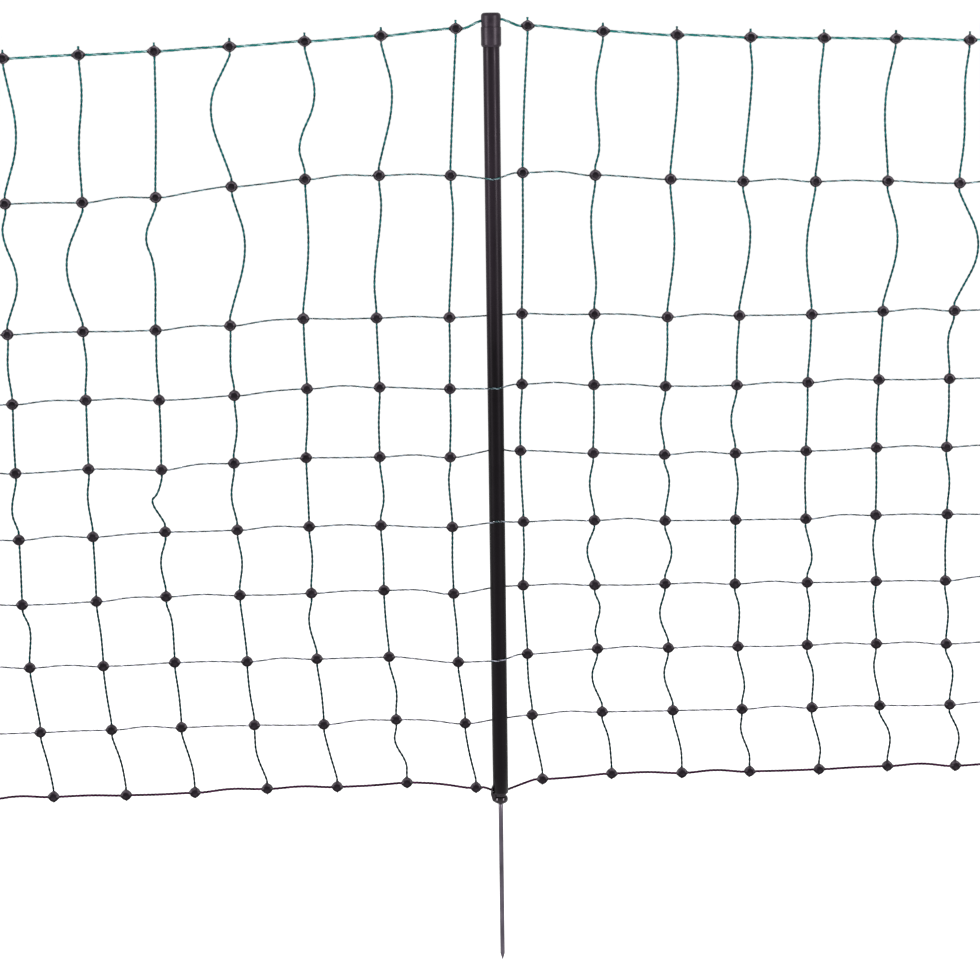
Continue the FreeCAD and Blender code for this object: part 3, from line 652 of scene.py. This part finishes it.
def twisted_strand(name, kind, route, phase):
    """A strand of round plies laid round each other, with any wires in their valleys."""
    outer, pitch, plies, wires = STRANDS[kind]
    centres, along = smooth_path(route, pitch / RINGS_PER_TWIST)
    ply_radius = outer * PLY_RADIUS[len(plies)]
    ply_offset = outer * PLY_OFFSET[len(plies)]
    vertices, quads, slots, strand = [], [], [], []
    materials = list(dict.fromkeys(plies + wires))
    count = 0
    threads = [(ply, ply_offset, ply_radius, k / len(plies), PLY_SIDES)
               for k, ply in enumerate(plies)]
    threads += [(wire, outer * WIRE_OFFSET, WIRE_RADIUS, (k + 0.5) / len(plies), WIRE_SIDES)
                for k, wire in enumerate(wires)]
    for thread, offset, radius, share, sides in threads:
        turn = phase + 2 * math.pi * share
        middle, radial, other = helix(centres, along, offset, pitch, turn)
        points, faces, angles = tube(middle, radial, other, np.full(len(middle), radius), sides)
        vertices.append(points)
        quads.append(faces + count)
        slots.append(np.full(len(faces), materials.index(thread)))
        strand.append(np.column_stack([np.cos(angles), np.sin(angles),
                                       np.repeat(along * MM, sides)]))
        count += len(points)
    return new_object(name, np.concatenate(vertices), np.concatenate(quads), materials,
                      np.concatenate(slots), np.concatenate(strand))


def line_kind(row):
    if row == 1:
        return "top_line"
    if row == ROWS:
        return "bottom_line"
    return "polywire"


def make_lines(side):
    for row in range(1, ROWS + 1):
        kind = line_kind(row)
        piece = twisted_strand("{}_rope_{:02d}".format(side, row), kind,
                               line_route(side, row), 0.9 * row)
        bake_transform(piece)
        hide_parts("{}_line_{:02d}".format(side, row), side + "_post_spans")


def make_uprights(side):
    for column in range(1, COLUMNS + 1):
        piece = twisted_strand("{}_twine_{}".format(side, column), "upright",
                               upright_route(side, column), 1.7 * column)
        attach(piece, side + "_net")
        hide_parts("{}_upright_{}".format(side, column))


# ---------------------------------------------------------------- knots

KNOT_RING_SIDES = 40
KNOT_RINGS = 17
KNOT_FRONT_WALL = 1.3
KNOT_BACK_WALL = 1.1
COLLAR_SIDES = 16
COLLAR_MOUTH_WALL = 0.75
# Kinds: row that sizes it, half width, half height, disc radius, and corner squareness, where
# 2 is round and 1.4 a diamond
KNOT_KINDS = {
    "top": (1, 9.2, 7.6, 8.7, 1.75),
    "middle": (2, 8.4, 7.9, 8.05, 1.95),
    "bottom": (ROWS, 8.3, 7.9, 8.2, 1.7),
}
# The front is dished, and has a painted highlight, a paler band at RIM_SHARE of the radius that
# fades row by row
KNOT_DISH_SHARE = 0.62
KNOT_DISH_DEPTH = 0.55
RIM_SHARE = 0.66
RIM_SPREAD = 0.07
RIM_HIGHLIGHT = 0.55
RIM_HIGHLIGHT_FALL = 0.075


def scratch_solid(points, quads):
    mesh = bpy.data.meshes.new("scratch")
    mesh.from_pydata([tuple(p) for p in points], [], [tuple(int(i) for i in q) for q in quads])
    return mesh


def cushion_solid(radius, squareness, front, back, half_width, half_height):
    """A rounded disc across Y whose outline is a superellipse and whose faces are nearly flat."""
    angles = np.arange(KNOT_RING_SIDES) * 2 * math.pi / KNOT_RING_SIDES
    power = 2 / squareness
    outline_x = np.sign(np.cos(angles)) * np.abs(np.cos(angles)) ** power
    outline_z = np.sign(np.sin(angles)) * np.abs(np.sin(angles)) ** power
    rings = []
    for step in np.linspace(0.02, 0.98, KNOT_RINGS) * math.pi:
        y = (front + back) / 2 - math.copysign(abs(math.cos(step)) ** 0.55, math.cos(step)) \
            * (back - front) / 2
        spread = radius * math.sin(step) ** 0.5
        if y < 0:
            y += KNOT_DISH_DEPTH * max(0, 1 - (spread / radius / KNOT_DISH_SHARE) ** 2)
        ring = np.column_stack([outline_x * spread, np.full(KNOT_RING_SIDES, y),
                                outline_z * spread * half_height / half_width])
        rings.append(ring)
    at = np.arange(len(rings) * KNOT_RING_SIDES).reshape(len(rings), KNOT_RING_SIDES)
    following = np.roll(at, -1, axis=1)
    walls = np.stack([at[:-1], at[1:], following[1:], following[:-1]], axis=-1).reshape(-1, 4)
    return np.concatenate(rings), np.concatenate([walls, fan(at[0]), fan(at[-1][::-1])])


def collar_solid(direction, centre, inner, outer, start, end):
    """A tapering collar along a direction, with a small lip at its mouth."""
    stations = np.array((start, (start + end) / 2, end - 0.9, end - 0.5, end))
    radii = np.array((inner, (inner + outer) / 2, outer, outer + 0.25, outer - 0.15))
    direction = np.array(direction, float)
    across = np.array((0.0, 1.0, 0.0))
    other = np.cross(direction, across)
    centres = np.array(centre) + stations[:, None] * direction
    n = len(stations)
    points, quads, _ = tube(centres, np.tile(across, (n, 1)), np.tile(other, (n, 1)), radii,
                            COLLAR_SIDES)
    return points, quads


def knot_prototype(kind):
    """One moulded knot, remeshed so that its collars flow into its disc."""
    row, half_width, half_height, radius, squareness = KNOT_KINDS[kind]
    front = -(2 * line_radius(row) + STRAND_GAP + KNOT_FRONT_WALL)
    back = 2 * UPRIGHT_RADIUS + STRAND_GAP + KNOT_BACK_WALL
    solids = [cushion_solid(radius, squareness, front, back, half_width, half_height)]
    for way in (-1, 1):
        solids.append(collar_solid((way, 0, 0), (0, line_y(row), 0), line_radius(row) + 2.2,
                                   line_radius(row) + COLLAR_MOUTH_WALL, radius * 0.55, half_width))
        solids.append(collar_solid((0, 0, way), (0, UPRIGHT_Y, 0), UPRIGHT_RADIUS + 2.0,
                                   UPRIGHT_RADIUS + COLLAR_MOUTH_WALL, radius * 0.5, half_height))
    points, quads, count = [], [], 0
    for solid_points, solid_quads in solids:
        points.append(solid_points)
        quads.append(solid_quads + count)
        count += len(solid_points)
    blank = bpy.data.objects.new("scratch", scratch_solid(np.concatenate(points),
                                                          np.concatenate(quads)))
    bpy.context.scene.collection.objects.link(blank)
    remesh = blank.modifiers.new("remesh", "REMESH")
    remesh.mode = "VOXEL"
    remesh.voxel_size = KNOT_VOXEL
    smooth = blank.modifiers.new("smooth", "SMOOTH")
    smooth.iterations = 2
    thin = blank.modifiers.new("thin", "DECIMATE")
    thin.ratio = KNOT_DECIMATE
    made = bpy.data.meshes.new_from_object(
        blank.evaluated_get(bpy.context.evaluated_depsgraph_get()))
    bpy.data.objects.remove(blank)
    return made


def triangles_of(mesh):
    mesh.calc_loop_triangles()
    points = np.zeros(len(mesh.vertices) * 3, np.float32)
    corners = np.zeros(len(mesh.loop_triangles) * 3, np.int32)
    mesh.vertices.foreach_get("co", points)
    mesh.loop_triangles.foreach_get("vertices", corners)
    return points.reshape(-1, 3), corners.reshape(-1, 3)


def rim_highlight(row, kind, points):
    """How strong the painted highlight is at each point: most on the front's rim, and less in the
    lower rows.
    """
    out = np.hypot(points[:, 0], points[:, 2]) / KNOT_KINDS[kind][3]
    band = np.exp(-((out - RIM_SHARE) / RIM_SPREAD) ** 2)
    front = points[:, 1] < line_y(row)
    return (band * front * max(0, RIM_HIGHLIGHT - RIM_HIGHLIGHT_FALL * row)).astype(np.float32)


def knot_row(side, row, kind, points, corners):
    """The eight knots of a line, each turned a little on its own."""
    all_points, all_corners = [], []
    for column in range(1, COLUMNS + 1):
        tilt = KNOT_TILT * math.sin(3.1 * column + 1.9 * row + 2 * SIDES[side])
        turn = np.array(Matrix.Rotation(tilt, 3, "Y"))
        place = (knot_x(side, row, column), 0, knot_z(side, row, column))
        all_corners.append(corners + len(points) * (column - 1))
        all_points.append(points @ turn.T + place)
    # The knots carry a per-point share of painted highlight on their rims
    piece = new_object("{}_knots_row_{:02d}".format(side, row), np.concatenate(all_points),
                       np.concatenate(all_corners), [KNOT_PLASTIC],
                       painted_highlight=np.tile(rim_highlight(row, kind, points), COLUMNS))
    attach(piece, side + "_net")
    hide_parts("{}_knots_{}".format(side, kind))


def make_knots():
    for kind in KNOT_KINDS:
        points, corners = triangles_of(knot_prototype(kind))
        rows = {"top": (1,), "middle": range(2, ROWS), "bottom": (ROWS,)}[kind]
        for side in SIDES:
            for row in rows:
                knot_row(side, row, kind, points, corners)


# ---------------------------------------------------------------- post

def make_post_shell():
    inner = TUBE_RADIUS - TUBE_WALL
    heights = np.linspace(TUBE_BOTTOM + EDGE, TUBE_TOP - EDGE, TUBE_RINGS)
    profile = [(0, TUBE_BOTTOM), (inner, TUBE_BOTTOM), (TUBE_RADIUS - EDGE, TUBE_BOTTOM)]
    profile += [(TUBE_RADIUS, height) for height in heights]
    profile += [(TUBE_RADIUS - EDGE, TUBE_TOP), (inner, TUBE_TOP), (0, TUBE_TOP)]
    tube_piece = turned("post_shell", profile, POST_PLASTIC)
    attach(tube_piece, "post")
    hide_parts("post_tube")


def make_spike_rod():
    steps = np.linspace(SPIKE_SHOULDER, 0, SPIKE_RINGS)
    rod = [(0, SPIKE_TIP), (0.35, SPIKE_TIP), (0.75, SPIKE_TIP + 0.6),
           (SPIKE_RADIUS - 0.15, SPIKE_SHOULDER - 0.5)]
    rod += [(SPIKE_RADIUS, height) for height in steps]
    rod += [(SPIKE_RADIUS - EDGE, SPIKE_INTO_FOOT), (0, SPIKE_INTO_FOOT)]
    spike_piece = turned("spike_rod", rod, SPIKE_STEEL)
    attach(spike_piece, "post")
    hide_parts("spike")


def dress_cad_nodes():
    for node, made in (("foot", FOOT_PLASTIC), ("cap_sleeve", CAP_PLASTIC),
                       ("line_seat", CAP_PLASTIC), ("top_cap", CAP_PLASTIC)):
        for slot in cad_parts[node].material_slots:
            slot.material = made


# ---------------------------------------------------------------- stage

# The camera's place and angles are results of a least-squares fit
CAMERA_PLACE = Vector((-187.0, -3152.3, 1166.7)) * MM
CAMERA_DOWN = math.radians(12.56)
CAMERA_YAW = math.radians(3.223)
CAMERA_ROLL = math.radians(-0.76)
CAMERA_LENS_MM = 85
CAMERA_SENSOR_MM = 36
FLOOR_GAP = 0.0015
FLOOR_HALF = 60.0
SKY_STRENGTH = 1.06
SOFTBOX_SIZE = (0.52, 1.5)
SOFTBOX_POWER = 115
SOFTBOX_TARGET = (0, 0, 1.2)


def make_camera():
    data = bpy.data.cameras.new("camera")
    data.lens = CAMERA_LENS_MM
    data.sensor_width = CAMERA_SENSOR_MM
    forward = Vector((math.sin(CAMERA_YAW) * math.cos(CAMERA_DOWN),
                      math.cos(CAMERA_YAW) * math.cos(CAMERA_DOWN), -math.sin(CAMERA_DOWN)))
    level = forward.cross(Vector((0, 0, 1))).normalized()
    upward = level.cross(forward)
    right = level * math.cos(CAMERA_ROLL) + upward * math.sin(CAMERA_ROLL)
    up = upward * math.cos(CAMERA_ROLL) - level * math.sin(CAMERA_ROLL)
    camera = bpy.data.objects.new("camera", data)
    rotation = Matrix((right, up, -forward)).transposed().to_4x4()
    camera.matrix_world = Matrix.Translation(CAMERA_PLACE) @ rotation
    bpy.context.scene.collection.objects.link(camera)
    bpy.context.scene.camera = camera


def make_floor():
    z = CAD_BOX[0][2] - FLOOR_GAP
    mesh = bpy.data.meshes.new("floor")
    corners = [(x * FLOOR_HALF, y * FLOOR_HALF, z) for x, y in ((-1, -1), (1, -1), (1, 1), (-1, 1))]
    mesh.from_pydata(corners, [], [(0, 1, 2, 3)])
    made, tree, shader = material("floor_white")
    shader.inputs["Base Color"].default_value = (0.95, 0.95, 0.95, 1)
    shader.inputs["Roughness"].default_value = 0.9
    shader.inputs["Specular IOR Level"].default_value = 0.0
    mesh.materials.append(made)
    floor = bpy.data.objects.new("floor", mesh)
    bpy.context.scene.collection.objects.link(floor)


def softbox(name, place):
    data = bpy.data.lights.new(name, "AREA")
    data.shape = "RECTANGLE"
    data.size, data.size_y = SOFTBOX_SIZE
    data.energy = SOFTBOX_POWER
    light = bpy.data.objects.new(name, data)
    light.location = place
    aim = Vector(SOFTBOX_TARGET) - Vector(place)
    light.rotation_euler = aim.to_track_quat("-Z", "Y").to_euler()
    light.visible_camera = False
    bpy.context.scene.collection.objects.link(light)


def make_lights():
    world = bpy.data.worlds.new("studio")
    world.use_nodes = True
    background = world.node_tree.nodes["Background"]
    background.inputs["Color"].default_value = (1, 1, 1, 1)
    background.inputs["Strength"].default_value = SKY_STRENGTH
    bpy.context.scene.world = world
    softbox("left_softbox", (-2.85, -1.45, 1.25))
    softbox("right_softbox", (2.2, -2.3, 1.25))


make_camera()
make_lights()
make_floor()
make_post_shell()
make_spike_rod()
dress_cad_nodes()
for net_side in SIDES:
    make_lines(net_side)
    make_uprights(net_side)
make_knots()
bpy.context.scene.view_settings.view_transform = "Standard"
